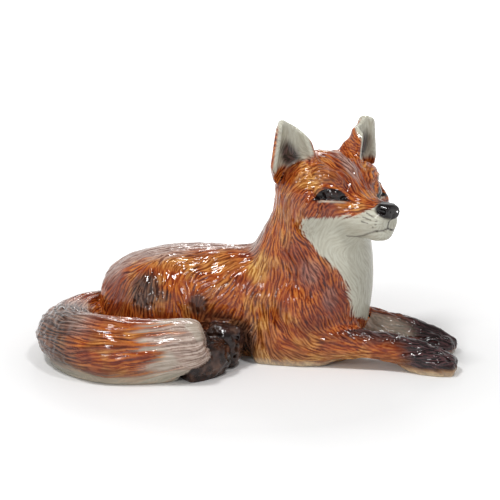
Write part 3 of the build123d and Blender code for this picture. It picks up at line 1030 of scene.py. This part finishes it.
def seenRays(tree, place):
    # 1 where the camera, a glossy or a clear surface looks
    path = node(tree, "ShaderNodeLightPath", place)
    both = node(tree, "ShaderNodeMath", (place[0] + 150, place[1]), {"operation": "MAXIMUM"},
                {0: path.outputs["Is Camera Ray"], 1: path.outputs["Is Glossy Ray"]})
    return node(tree, "ShaderNodeMath", (place[0] + 300, place[1]), {"operation": "MAXIMUM"},
                {0: both.outputs[0], 1: path.outputs["Is Transmission Ray"]}).outputs[0]


# metres; the paper is lifted to white from so far to so far from the fox
stand = {"size": 1.6, "colour": "#efefef", "roughness": 0.9, "lift": 0.72,
         "liftFrom": 0.03, "liftTo": 0.11}
floorMesh = bpy.data.meshes.new("table")
half = stand["size"] / 2
floorMesh.from_pydata([(-half, -half, 0), (half, -half, 0), (half, half, 0), (-half, half, 0)],
                      [], [(0, 1, 2, 3)])
table = bpy.data.objects.new("table", floorMesh)
bpy.context.scene.collection.objects.link(table)
paper = bpy.data.materials.new("matt paper")
paper.use_nodes = True
tree = paper.node_tree
shader = tree.nodes["Principled BSDF"]
shader.inputs["Base Color"].default_value = linear(stand["colour"])
shader.inputs["Roughness"].default_value = stand["roughness"]
shader.inputs["Specular IOR Level"].default_value = 0.0
shader.inputs["Emission Color"].default_value = (1, 1, 1, 1)
seen = seenRays(tree, (-600, -200))
where = node(tree, "ShaderNodeTexCoord", (-1000, -400))
away = node(tree, "ShaderNodeVectorMath", (-800, -400), {"operation": "LENGTH"},
            {0: where.outputs["Object"]})
white = node(tree, "ShaderNodeMapRange", (-600, -400),
             {"From Min": stand["liftFrom"], "From Max": stand["liftTo"],
              "To Max": stand["lift"]}, {"Value": away.outputs["Value"]})
lift = node(tree, "ShaderNodeMath", (-300, -200), {"operation": "MULTIPLY"},
            {0: seen, 1: white.outputs["Result"]})
tree.links.new(lift.outputs[0], shader.inputs["Emission Strength"])
floorMesh.materials.append(paper)

# how strong the room's light is, and how it looks: white up to some height, dimmer above
room = {"light": 0.42, "white": 1.0, "dim": 0.30, "dimFrom": 0.40, "dimTo": 0.75}
world = bpy.data.worlds.new("studio")
bpy.context.scene.world = world
world.use_nodes = True
tree = world.node_tree
light = tree.nodes["Background"]
light.inputs["Color"].default_value = (1, 1, 1, 1)
towards = node(tree, "ShaderNodeTexCoord", (-1100, -300))
rising = node(tree, "ShaderNodeSeparateXYZ", (-950, -300), {},
              {0: towards.outputs["Generated"]})
backdrop = node(tree, "ShaderNodeMapRange", (-700, -300),
                {"From Min": room["dimFrom"], "From Max": room["dimTo"],
                 "To Min": room["white"], "To Max": room["dim"]},
                {"Value": rising.outputs["Z"]})
level = node(tree, "ShaderNodeMapRange", (-300, 0), {"To Min": room["light"]},
             {"Value": seenRays(tree, (-600, 0)), "To Max": backdrop.outputs["Result"]})
tree.links.new(level.outputs["Result"], light.inputs["Strength"])


lampAim = Vector((0, 0, 0.015))


def lamp(name, place, size, radiance):
    # radiance in W per square metre and steradian; the power follows from the size
    light = bpy.data.lights.new(name, "AREA")
    light.shape = "RECTANGLE"
    light.size, light.size_y = size
    light.energy = radiance * math.pi * size[0] * size[1]
    item = bpy.data.objects.new(name, light)
    item.location = place
    item.rotation_euler = (lampAim - Vector(place)).to_track_quat("-Z", "Y").to_euler()
    bpy.context.scene.collection.objects.link(item)


lamp("window above left", (-0.09, -0.11, 0.31), (0.070, 0.038), 55.0)
lamp("window above right", (0.12, -0.10, 0.30), (0.040, 0.040), 48.0)
lamp("window behind", (-0.12, 0.34, 0.22), (0.070, 0.040), 15.0)
lamp("window before", (-0.10, -0.36, 0.22), (0.080, 0.080), 13.0)

cameraSet = {"azimuth": 15.0, "elevation": 16.0, "distance": 0.270,
             "target": (25.40, -4.35, 15.0), "lens": 124.8, "shiftY": 0.03}
azimuth, elevation = (math.radians(cameraSet[k]) for k in ("azimuth", "elevation"))
back = Vector((math.sin(azimuth) * math.cos(elevation),
               -math.cos(azimuth) * math.cos(elevation), math.sin(elevation)))
cameraData = bpy.data.cameras.new("camera")
cameraData.lens = cameraSet["lens"]
cameraData.sensor_width = 36.0
cameraData.shift_y = cameraSet["shiftY"]
cameraData.clip_start = 0.01
camera = bpy.data.objects.new("camera", cameraData)
aim = Vector(tuple((np.array(cameraSet["target"]) + origin) * metre))
camera.location = aim + cameraSet["distance"] * back
camera.rotation_euler = (-back).to_track_quat("-Z", "Y").to_euler()
bpy.context.scene.collection.objects.link(camera)
bpy.context.scene.camera = camera
bpy.context.scene.view_settings.view_transform = "Standard"
